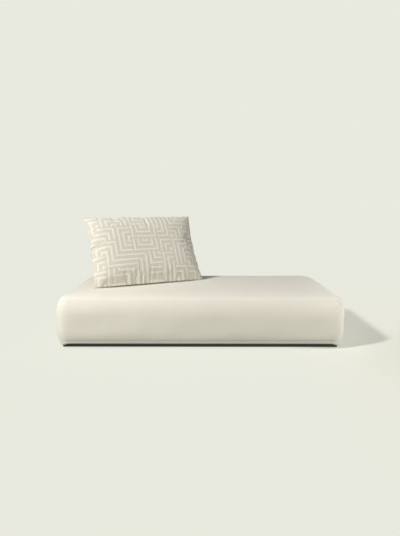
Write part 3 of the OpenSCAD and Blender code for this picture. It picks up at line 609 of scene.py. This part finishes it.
def block_form(border, inner):
    """The block's smooth skin. Border rows keep the plan's corner, crown rows shrink from the seam line to the
    middle while their corners tighten, and the rows by the seam are eased, so that the cloth rolls over it."""
    sx, sy, dx, dy = COLUMNS
    inset, height = (border[:, k, None] for k in (0, 1))
    radius = np.maximum(CORNER_RADIUS - inset, 0.003)
    x = sx * (BLOCK_X - inset - radius) + dx * radius
    y = sy * (BLOCK_Y - inset - radius) + dy * radius
    lower = np.stack([x, y, height + 0 * sx], -1)
    e = inner[:, None]
    radius = (CORNER_RADIUS - SEAM_INSET) * (1 - e / SEAM_Y)
    x = sx * (SEAM_X - e - (SEAM_X - SEAM_Y) * (e / SEAM_Y) ** 2 - radius) + dx * radius
    y = sy * (SEAM_Y - e - radius) + dy * radius
    upper = np.stack([x, y, SEAM_Z + CROWN * crown_share(x, y)], -1)
    seam = len(border) - 1
    return settled(np.concatenate([lower, upper]), seam - EASED_ROWS, seam + EASED_ROWS, EASED_TIMES)


def cover_relief(along, climb, mitre, front, z):
    """How far the cover's cloth stands out of its smooth form. Bell curves place each feature: the lip of the hem,
    the roll along the seam and the groove in it, and the pinch, tucks and folds of a corner. The seam's groove
    fades away from the corners, along the front most of all."""
    lower = climb < -LOWER_SIDE
    side = smoothstep(HEM_Z + 0.02, HEM_Z + 0.09, z) * smoothstep(0, 0.10, -climb)
    relief = SIDE_SWELL * waves(along + 0 * z, z * 1.6, 5, 16, 0.6, 0.16) * side
    lip = bell(z - HEM_Z - 0.012, 0.0045) - 0.8 * bell(z - HEM_Z - 0.026, 0.004)
    relief += HEM_LIP * lip * lower
    pinch = bell(mitre, 0.014) * bell(climb, 0.022)
    tucks = np.cos(2 * math.pi * climb / 0.030) * bell(climb + 0.018, 0.028) * bell(mitre - 0.045, 0.035)
    relief += SEAM_ROLL * bell(climb, 0.030) - CORNER_PINCH * pinch + CORNER_TUCKS * tucks
    folds = bell(mitre, 0.030) * bell(z - HEM_Z - 0.022, 0.012) * lower
    relief -= CORNER_FOLDS * folds * np.cos(2 * math.pi * (mitre - 1.1 * (z - HEM_Z)) / 0.034)
    groove = bell(climb, 0.0016) * (0.25 + 0.75 * smoothstep(0.22, 0.03, mitre))
    relief -= SEAM_GROOVE * groove * (1 - 0.7 * front * smoothstep(0.05, 0.25, mitre))
    return relief


def block_skin(depth):
    """The block's skin a depth below its face, with its cloth's relief: the points, their arc lengths along the
    ring and up each column, and the masks for the painted shade along each seam, which are the distance from the
    nearest seam and how dark that painted shade is."""
    border, inner = block_rows()
    points = block_form(border, inner)

    # Arc lengths along the ring at the belly, and up each column from the seam
    belly = np.argmin(np.abs(border[:, 1] - (HEM_Z + SEAM_Z) / 2))
    edge = np.roll(points[belly], -1, 0) - points[belly]
    ring = np.concatenate([[0], np.cumsum(np.linalg.norm(edge, axis=-1))])
    steps = np.linalg.norm(np.diff(points, axis=0), axis=-1)
    climb = np.concatenate([np.zeros((1, len(edge))), np.cumsum(steps, 0)])
    climb = climb - climb[len(border) - 1]

    # Distance round the plan from the nearest mitre, and how squarely the column faces the front
    dx, dy = COLUMNS[2:]
    turn = np.abs(np.degrees(np.arctan2(np.abs(dx), np.abs(dy))) - 45)
    mitres = ring[:-1][turn < 0.01]
    around = np.abs(ring[:-1, None] - mitres)
    mitre = np.minimum(around, ring[-1] - around).min(1)
    front = smoothstep(0.6, 0.8, -dy)

    # Relief, the seat's swells, and the hem's dip over the plinth at the corners, from where its edge turns under
    x, y, z = np.moveaxis(points, -1, 0)
    relief = cover_relief(ring[:-1], climb, mitre, front, z)
    points = points + (relief - depth)[..., None] * outward(points)
    above = climb > 0.0
    points[..., 2] += np.where(above, seat_relief(x, y), 0)
    turned = smoothstep(HEM_INSET + TURN_UNDER, HEM_INSET + HEM_ROLL, border[:, 0])
    turned = np.append(turned, np.ones(len(inner)))[:, None]
    dip = bell(mitre, 0.045) * bell(z - HEM_Z, 0.032) * turned
    points[..., 2] -= CORNER_DIP * dip * (climb < -LOWER_SIDE)

    # Masks for the painted shade along each seam: the distance from the nearest seam, on the lower border also from
    # the corner's mitre, and how dark that painted shade is, strongest at the corners and fainter along the front's
    # top and upper border
    off = np.minimum(np.abs(climb), np.where(above, 1.0, mitre[None, :]))
    strength = 0.35 + 0.65 * smoothstep(0.25, 0.04, mitre) * np.ones_like(climb)
    fainter = 1 - 0.65 * front * smoothstep(0.05, 0.30, mitre)
    strength = np.where(climb > -0.12, strength * fainter, strength)
    return points, ring, climb, {"seam": off, "strength": strength}


def closed_shell(name, outer, inner_rows, wall, cloth, uv_ring, uv_climb, masks):
    """A closed shell from an outer grid whose last row closes on a pole: the chosen rows again, a wall deeper, make
    the inner side, and a band joins the two at the open edge."""
    rows, columns = outer.shape[:2]
    inner = (outer - wall * outward(outer))[inner_rows]
    count = len(inner_rows)
    crown, under = outer[-1].mean(0), inner[-1].mean(0)
    points = np.concatenate([outer.reshape(-1, 3), inner.reshape(-1, 3), [crown], [under]])

    # Vertices: the outer rows, the inner rows from start, and the two poles
    start, pole = rows * columns, (rows + count) * columns
    j = np.arange(columns)
    k = (j + 1) % columns
    face = ring_quads(rows, columns)
    back = ring_quads(count, columns)[:, ::-1] + start
    band = np.stack([start + j, start + k, k, j], 1)
    top_row, low_row = start - columns, pole - columns
    top = np.stack([top_row + j, top_row + k, np.full(columns, pole)], 1)
    low = np.stack([low_row + k, low_row + j, np.full(columns, pole + 1)], 1)

    # The cloth lies flat along the ring and up the columns on its outer side
    flat = np.stack([np.broadcast_to(uv_ring[:-1], (rows, columns)), uv_climb], -1)
    flat_next = np.stack([np.broadcast_to(uv_ring[1:], (rows, columns)), np.roll(uv_climb, -1, 1)], -1)
    quad_uv = np.stack([flat[:-1], flat_next[:-1], flat_next[1:], flat[1:]], 2).reshape(-1, 2)
    rest = 4 * (len(back) + len(band)) + 3 * (len(top) + len(low))
    uv = np.concatenate([quad_uv, np.zeros((rest, 2))])
    top_at = 4 * (len(face) + len(back) + len(band))
    top_uv = np.stack([flat[-1], flat_next[-1], flat[-1] + (0, 0.01)], 1)
    uv[top_at : top_at + 3 * columns] = top_uv.reshape(-1, 2)

    whole = {}
    for key, values in masks.items():
        whole[key] = np.concatenate([values.reshape(-1), values[inner_rows].reshape(-1), [1.0, 1.0]])
    faces = [corners for part in (face, back, band, top, low) for corners in part.tolist()]
    return build(name, points, faces, [cloth], uv, masks=whole)


# The cover's shell carries the masks for the painted shade along each seam
skin, ring, climb, seam_shade_masks = block_skin(0.0)
last = len(skin) - 1
inner_rows = np.unique(np.concatenate([np.arange(14), np.arange(14, last, 4), [last]]))
seat_cover = closed_shell("seat_cover", skin, inner_rows, COVER_CLOTH, COVER, ring, climb, seam_shade_masks)
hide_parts("front_border", "right_border", "back_border", "left_border", "top_panel")

skin, ring, climb, _ = block_skin(WADDING_DEPTH)
rows = np.unique(np.append(np.arange(WADDING_FROM, last, 2), last))
columns = np.arange(0, len(COLUMNS[0]), 2)
chosen = np.ix_(rows, columns)
ring = np.append(ring[columns], ring[-1])
inner_rows = np.arange(len(rows))
wadding = closed_shell("wadding", skin[chosen], inner_rows, WADDING_CLOTH, FIBRE, ring, climb[chosen], {})
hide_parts("wadding_wrap")


# The pillow


def pillow_base():
    """Height of the pillow's lowest corner: half a millimetre above the seat under the lower of its two ends."""
    ends = np.array([-1, 1]) * HALF_WIDTH
    x = PILLOW_PLACE[0] + ends * math.cos(PILLOW_TURN)
    y = PILLOW_PLACE[1] + ends * math.sin(PILLOW_TURN)
    return PILLOW_GAP + (SEAM_Z + CROWN * crown_share(x, y)).min()


def pillow_room(p):
    """From the pillow's own frame, across, out of its back and up, to the room: leant back, then turned."""
    s, c = math.sin(PILLOW_LEAN), math.cos(PILLOW_LEAN)
    back = p[..., 1] * c + p[..., 2] * s
    up = p[..., 2] * c - p[..., 1] * s
    s, c = math.sin(PILLOW_TURN), math.cos(PILLOW_TURN)
    x = PILLOW_PLACE[0] + p[..., 0] * c - back * s
    y = PILLOW_PLACE[1] + p[..., 0] * s + back * c
    return np.stack([x, y, pillow_base() + up], -1)


def puff(u, w):
    """Share of the pillow's thickness: the product of one minus the fourth power of each half-size coordinate, to
    the power 0.65."""
    return np.clip((1 - np.abs(u) ** 4) * (1 - np.abs(w) ** 4), 0, None) ** 0.65


def pillow_form(u, w, face, depth=0.0):
    """The filled pillow in its own frame: edges drawn in between the corners, a face that swells by puff, and a
    front whose belly sags near its foot. face is -1 for the front and 1 for the back."""
    x = u * (HALF_WIDTH - depth - (PILLOW_DRAW + PILLOW_RIGHT_DRAW * smoothstep(0.5, 1, u)) * (1 - w**2))
    z = HALF_HEIGHT + w * (HALF_HEIGHT - depth - PILLOW_EDGE_DRAW * (1 - u**2))
    z = z - PILLOW_SAG * (face < 0) * (1 - u**4) * bell(w + 0.93, 0.07)
    return np.stack([x, face * (PILLOW_THICKNESS / 2 - depth) * puff(u, w), z], -1)


def seated(points, lift):
    """The same points in the room, pressed flat where the seat is in the way. The front's cloth near the seat
    sags to a small gap over it, which leaves the narrow dark line under the pillow's belly."""
    room = pillow_room(points)
    seat = seat_top(room[..., 0], room[..., 1]) + lift
    above = np.maximum(room[..., 2] - seat, 0)
    near = smoothstep(SAG_ABOVE, SAG_BELOW, above)
    front = smoothstep(0.0, -0.020, points[..., 1])
    room[..., 2] = seat + above - np.maximum(above - SAG_GAP, 0) * near * front
    return room


def two_faces(rows, columns):
    """Vertex numbers of a pillow of two grids that share their outer edge, and the quads of both faces."""
    front = np.arange(rows * columns).reshape(rows, columns)
    back = front.copy()
    inside = (rows - 2) * (columns - 2)
    back[1:-1, 1:-1] = rows * columns + np.arange(inside).reshape(rows - 2, columns - 2)
    quads = []
    for grid, order in ((front, (0, 1, 2, 3)), (back, (3, 2, 1, 0))):
        ring = np.stack([grid[:-1, :-1], grid[:-1, 1:], grid[1:, 1:], grid[1:, :-1]], -1)
        quads.append(ring.reshape(-1, 4)[:, order])
    return front, back, np.concatenate(quads)


def blur(grid, width, axis):
    """A grid blurred by a bell curve a number of cells wide, up its rows (axis 0) or across its columns (1)."""
    at = np.arange(grid.shape[axis])
    share = np.exp(-0.5 * ((at[:, None] - at) / width) ** 2)
    share /= share.sum(1, keepdims=True)
    return np.moveaxis(np.tensordot(share, grid, (1, axis)), 0, axis)


def swollen(rows, columns):
    """Pucker and crease of the pillow's cloth, as offsets from its form on the front and the back. Two flat
    panels, cut a little larger than the filled pillow and joined round their edge, are blown up as cloth, from a
    start that is a fifth too thin and slightly uneven. What is kept is what stays after a broad blur is taken off,
    so the pillow keeps its form and gains the creases of its own cloth."""
    u, w = np.meshgrid(np.linspace(-1, 1, columns), np.linspace(-1, 1, rows))
    front, back, quads = two_faces(rows, columns)
    count = back.max() + 1
    start, cut = np.zeros((2, count, 3))
    for index, face in ((back, 1), (front, -1)):
        start[index] = pillow_form(u, w, face) * (1, 0.80, 1)
        cut[index] = np.stack([u * CUT_WIDE * PILLOW_WIDTH, 0 * u, PILLOW_HEIGHT * (0.5 + w * CUT_HIGH)], -1)
    start[:, 1] += np.random.default_rng(11).normal(0, 0.0006, count)
    mesh = bpy.data.meshes.new("pillow cloth")
    mesh.from_pydata(start.tolist(), [], quads.tolist())
    cloth = bpy.data.objects.new("pillow_cloth", mesh)
    bpy.context.scene.collection.objects.link(cloth)
    cloth.shape_key_add(name="Basis")
    key = cloth.shape_key_add(name="cut")
    key.data.foreach_set("co", cut.reshape(-1))
    key.value = 0
    swell = cloth.modifiers.new("swell", "CLOTH")
    settings = swell.settings
    settings.quality = 7
    settings.mass = 0.25
    settings.air_damping = 2.0
    settings.tension_stiffness = settings.compression_stiffness = 25
    settings.shear_stiffness = 8
    settings.bending_stiffness = 0.6
    settings.use_pressure = True
    settings.uniform_pressure_force = 4
    settings.effector_weights.gravity = 0
    settings.rest_shape_key = key
    swell.collision_settings.use_collision = False
    swell.point_cache.frame_start, swell.point_cache.frame_end = 1, CLOTH_FRAMES
    for moment in range(1, CLOTH_FRAMES + 1):
        bpy.context.scene.frame_set(moment)
    shown = cloth.evaluated_get(bpy.context.evaluated_depsgraph_get())
    points = np.empty(count * 3)
    shown.data.vertices.foreach_get("co", points)
    points = points.reshape(-1, 3)
    bpy.data.objects.remove(cloth)
    bpy.context.scene.frame_set(1)

    # Scaled to the pillow's size, then blurred along the nearer edge, with nothing kept right at the corners
    low, high = points.min(0), points.max(0)
    size = np.array([PILLOW_WIDTH, PILLOW_THICKNESS, PILLOW_HEIGHT])
    points = (points - (low + high) / 2) * size / (high - low) + (0, 0, HALF_HEIGHT)
    aside, below = (1 - np.abs(u)) * HALF_WIDTH, (1 - np.abs(w)) * HALF_HEIGHT
    beside = ((below + 0.004) / (aside + below + 0.008))[..., None]
    corner = smoothstep(0.015, 0.09, np.hypot(aside, below))[..., None]
    offsets = []
    for index, face in ((front, -1), (back, 1)):
        off = points[index] - pillow_form(u, w, face)
        broad = beside * blur(off, CREASE_BLUR, 0) + (1 - beside) * blur(off, CREASE_BLUR, 1)
        fine = corner * (off - broad)
        length = np.linalg.norm(fine, axis=-1, keepdims=True)
        offsets.append(fine * np.minimum(1, CREASE_LIMIT / np.maximum(length, 1e-9)))
    offsets[1][0], offsets[1][-1] = offsets[0][0], offsets[0][-1]
    offsets[1][:, 0], offsets[1][:, -1] = offsets[0][:, 0], offsets[0][:, -1]
    return offsets


def resample(grid, places):
    """A grid whose rows run evenly from -1 to 1 at other places, by cubic curves through its own rows."""
    own = np.arange(len(grid))
    at = np.interp(places, np.linspace(-1, 1, len(grid)), own)
    far = np.abs(at[:, None] - own)
    inside = (1.5 * far - 2.5) * far**2 + 1
    outside = ((-0.5 * far + 2.5) * far - 4) * far + 2
    share = np.where(far < 1, inside, np.where(far < 2, outside, 0))
    share /= share.sum(1, keepdims=True)
    return np.tensordot(share, grid, (1, 0))


def fret(across, up):
    """Raised strokes of the pillow's cloth: square cells of three pitches, turned by quarters at random. Of 100
    cells 62 have bands round one corner, 23 plain bars and the others bands round the opposite corner. The cells
    come again after 24 rows or columns, which is past the pillow's edge."""
    cell = 3 * FRET_PITCH
    column, row = np.floor(across / cell).astype(int), np.floor(up / cell).astype(int)
    random = np.random.default_rng(20)
    again = 24
    chosen = row % again, column % again
    turns = random.integers(0, 4, (again, again))[chosen]
    kinds = random.random((again, again))[chosen]
    a, b = across / cell - column - 0.5, up / cell - row - 0.5
    c, s = np.round(np.cos(turns * math.pi / 2)), np.round(np.sin(turns * math.pi / 2))
    a, b = a * c - b * s + 0.5, a * s + b * c + 0.5
    band = np.where(kinds < 0.62, np.maximum(a, b), np.where(kinds < 0.85, a, np.minimum(a, b)))
    off = np.abs((band * 3) % 1 - 0.5) * FRET_PITCH
    return smoothstep(0.0080, 0.0048, off)


def uneven(low, high, step, near):
    """Places from low to high about a step apart, with extra ones crowding either side of chosen places, and none
    left within 0.42 mm of the one before."""
    places = [np.linspace(low, high, int(round((high - low) / step)) + 1)]
    crowd = np.array([0, 0.0005, 0.0011, 0.0019, 0.0030, 0.0048])
    for place in near:
        places += [place - crowd, place + crowd]
    places = np.unique(np.round(np.concatenate(places), 7))
    keep = np.concatenate([[True], np.diff(places) > 0.00042])
    keep[-1] = True
    return places[keep]


def zip_opened(form, crease):
    """The back's face with its creases eased off round the zip, a slot sunk to just below the tape's face, and the
    cloth's rolled edge either side of it. The slot tapers shut at both ends."""
    across, off = np.abs(form[..., 0]), np.abs(form[..., 2] - ZIP_LEVEL)
    slot = ZIP_SLOT * np.clip((ZIP_END - across) / ZIP_TAPER, 0, 1)
    away = smoothstep(0.016, 0.075, np.hypot(off, np.maximum(across - ZIP_END, 0)))
    points = form + crease * away[..., None]
    open_here = slot > 0.0004
    sunk = (off < slot - 0.0003) & open_here
    rolled = bell(off - slot - 0.0024, 0.0022) * open_here
    points[..., 1] = np.where(sunk, np.minimum(points[..., 1], TAPE_FACE - 0.0012), points[..., 1])
    points[..., 1] += np.where(sunk, 0, ZIP_ROLL * rolled)
    return points


zip_edges = ZIP_LEVEL - HALF_HEIGHT + np.array([-ZIP_SLOT, ZIP_SLOT])
w_rows = uneven(-HALF_HEIGHT, HALF_HEIGHT, COVER_STEP, zip_edges) / HALF_HEIGHT
u_columns = np.linspace(-1, 1, COVER_COLUMNS)
u, w = np.meshgrid(u_columns, w_rows)
front, back, quads = two_faces(*u.shape)
creases = swollen(CLOTH_ROWS, CLOTH_COLUMNS)
finer = (resample(np.moveaxis(resample(crease, w_rows), 1, 0), u_columns) for crease in creases)
front_crease, back_crease = (np.moveaxis(crease, 0, 1) for crease in finer)
flat = np.stack([u * HALF_WIDTH, w * HALF_HEIGHT], -1)
strokes = fret(flat[..., 0] + FRET_START[0], flat[..., 1] + FRET_START[1])

points = np.zeros((back.max() + 1, 3))
points[back] = zip_opened(pillow_form(u, w, 1), back_crease)
lifted = pillow_form(u, w, -1) + front_crease
rim = smoothstep(0.0, 0.05, np.minimum(1 - np.abs(u), (1 - np.abs(w)) * 0.64))
lifted[..., 1] -= FRET_RELIEF * strokes * rim
points[front] = lifted

mask = np.zeros(len(points))
mask[front] = strokes
uv = np.zeros((len(points), 2))
uv[back] = flat
uv[front] = flat
pillow_cover = build(
    "pillow_cover",
    seated(points, COVER_LIFT),
    quads.tolist(),
    [FRET, PILLOW_BACK],
    uv[quads.reshape(-1)],
    np.arange(len(quads)) >= len(quads) // 2,
    {"fret": mask},
    "pillow",
)
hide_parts("pillow_front", "pillow_back_upper", "pillow_back_lower")

w, u = np.meshgrid(*(np.linspace(-1, 1, count) for count in FILLING_GRID), indexing="ij")
front, back, quads = two_faces(*FILLING_GRID)
points = np.zeros((back.max() + 1, 3))
held = smoothstep(0, 0.15, 1 - np.maximum(np.abs(u), np.abs(w)))
for index, face in ((back, 1), (front, -1)):
    bumps = FILLING_BUMPS * waves(u * 0.45, w * 0.29, 8 + face, 12, 0.16, 0.05) * held
    points[index] = pillow_form(u, w, face, FILLING_DEPTH) - np.stack([0 * u, face * bumps, 0 * u], -1)
points = seated(points, FILLING_LIFT)
pillow_filling = build("pillow_filling", points, quads.tolist(), [FIBRE], body="pillow")
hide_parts("pillow_insert")


# Floor, light and camera

scene = bpy.context.scene

# The key lamp stands high at the left, in front of the block, one weak fill by the camera and one low at its right
# end: name, place, direction, watts and width of each round lamp. The rest comes evenly from all round.
LAMPS = [
    ("soft_key", (-3.50, -2.40, 3.84), (0.749, 0.314, -0.584), 266.0, 0.6),
    ("camera_fill", (0.0, -4.20, 1.60), (0.0, 0.9413, -0.3379), 15.0, 1.5),
    ("right_fill", (2.30, -0.90, 0.70), (-0.8668, 0.4334, -0.2476), 17.8, 0.8),
]
LAMP_TINT = (1.0, 0.985, 0.95)
SKY = 0.146
SKY_TINT = (0.99, 1.0, 1.0)

# The floor: its half width, the colour that the camera sees all over, the tone of that colour, the part of the
# light that it gives back to the object, and the most paint it has left and right of the block's right end
FLOOR_HALF = 60.0
SEEN = (0.812, 0.818, 0.738)
FLOOR_TONE = 0.80
BOUNCE = 0.42
MOST_PAINT = (0.14, 0.70)

# The camera: its lens in millimetres, its place, and how far it turns to the right and looks down, in degrees
LENS = 30.87
EYE_PLACE = (0.013, -3.523, 0.989)
EYE_TURN = -0.23
EYE_DOWN = 8.035


def backdrop():
    """World: even light on the object, and a plain pale background where the camera, a gloss or a clear part sees
    past the floor."""
    world = bpy.data.worlds.new("pale studio")
    world.use_nodes = True
    n = Nodes(world.node_tree)
    output = world.node_tree.nodes["World Output"]
    lamp = world.node_tree.nodes["Background"]
    n.plug(lamp.inputs["Strength"], SKY)
    n.plug(lamp.inputs["Color"], SKY_TINT)
    view = n.add("ShaderNodeBackground", {"Color": SEEN, "Strength": 1.0})
    path = n.add("ShaderNodeLightPath").outputs
    past = n.math("MAXIMUM", path["Is Glossy Ray"], path["Is Transmission Ray"])
    seen = n.math("MAXIMUM", path["Is Camera Ray"], past)
    mixed = n.add("ShaderNodeMixShader", {0: seen, 1: lamp.outputs[0], 2: view.outputs[0]})
    world.node_tree.links.new(mixed.outputs[0], output.inputs["Surface"])
    scene.world = world


def floor_paint():
    """Pale floor of one tone: as much of it as can be is paint that takes the shadow, and the rest, which the
    lamps' falling light would leave darker far away, is added for the camera alone. The light that reaches a spot
    is the sky's, plus each lamp's by its distance and the angles at both ends."""
    mat, n, shader = material("pale floor", roughness=0.95)
    shader.inputs["Specular IOR Level"].default_value = 0
    place = n.add("ShaderNodeTexCoord").outputs["Object"]
    lit = SKY
    for _, source, along, watts, _ in LAMPS:
        ray = n.add("ShaderNodeVectorMath", {0: place, 1: source}, operation="SUBTRACT").outputs[0]
        reach = n.add("ShaderNodeVectorMath", {0: ray}, operation="LENGTH").outputs["Value"]
        facing = n.add("ShaderNodeVectorMath", {0: ray, 1: along}, operation="DOT_PRODUCT").outputs["Value"]
        share = n.math("DIVIDE", n.math("MAXIMUM", facing, 0), n.math("POWER", reach, 4))
        lit = n.math("ADD", n.math("MULTIPLY", share, watts / math.pi**2 * source[2]), lit)
    aside = n.add("ShaderNodeSeparateXYZ", {0: place}).outputs[0]
    most = n.remap(aside, 0.6, 1.1, *MOST_PAINT)
    paint = n.math("MINIMUM", most, n.math("DIVIDE", FLOOR_TONE, lit))
    path = n.add("ShaderNodeLightPath").outputs
    seen = n.math("MAXIMUM", path["Is Camera Ray"], path["Is Glossy Ray"])
    tint = tuple(c / FLOOR_TONE for c in SEEN)
    given = n.math("ADD", n.math("MULTIPLY", seen, n.math("SUBTRACT", paint, BOUNCE)), BOUNCE)
    n.plug(shader.inputs["Base Color"], n.mix(given, (0, 0, 0), tint))
    rest = n.math("MAXIMUM", n.math("SUBTRACT", FLOOR_TONE, n.math("MULTIPLY", paint, lit)), 0)
    n.plug(shader.inputs["Emission Color"], n.mix(n.math("MULTIPLY", rest, seen), (0, 0, 0), tint))
    shader.inputs["Emission Strength"].default_value = 1
    return mat


floor_mesh = bpy.data.meshes.new("studio floor")
corners = [(x * FLOOR_HALF, y * FLOOR_HALF, 0) for x, y in ((-1, -1), (1, -1), (1, 1), (-1, 1))]
floor_mesh.from_pydata(corners, [], [(0, 1, 2, 3)])
floor_mesh.materials.append(floor_paint())
floor = bpy.data.objects.new("studio_floor", floor_mesh)
scene.collection.objects.link(floor)
backdrop()


def aim(obj, place, direction):
    """Put a lamp or camera at a place, turned so that its own -Z runs along a direction."""
    z = -np.array(direction) / np.linalg.norm(direction)
    x = np.cross((0, 0, 1), z)
    x = x / np.linalg.norm(x)
    matrix = np.eye(4)
    matrix[:3] = np.stack([x, np.cross(z, x), z, place], 1)
    obj.matrix_world = Matrix(matrix.tolist())


for name, source, along, watts, width in LAMPS:
    lamp = bpy.data.lights.new(name, "AREA")
    lamp.shape = "DISK"
    lamp.size = width
    lamp.energy = watts
    lamp.color = LAMP_TINT
    stand = bpy.data.objects.new(name, lamp)
    scene.collection.objects.link(stand)
    aim(stand, source, along)

camera = bpy.data.cameras.new("camera")
camera.sensor_width = 36
camera.sensor_fit = "AUTO"
camera.lens = LENS
eye = bpy.data.objects.new("camera", camera)
scene.collection.objects.link(eye)
yaw, pitch = math.radians(EYE_TURN), math.radians(EYE_DOWN)
aim(eye, EYE_PLACE, (math.sin(yaw) * math.cos(pitch), math.cos(yaw) * math.cos(pitch), -math.sin(pitch)))
scene.camera = eye
scene.view_settings.view_transform = "Standard"
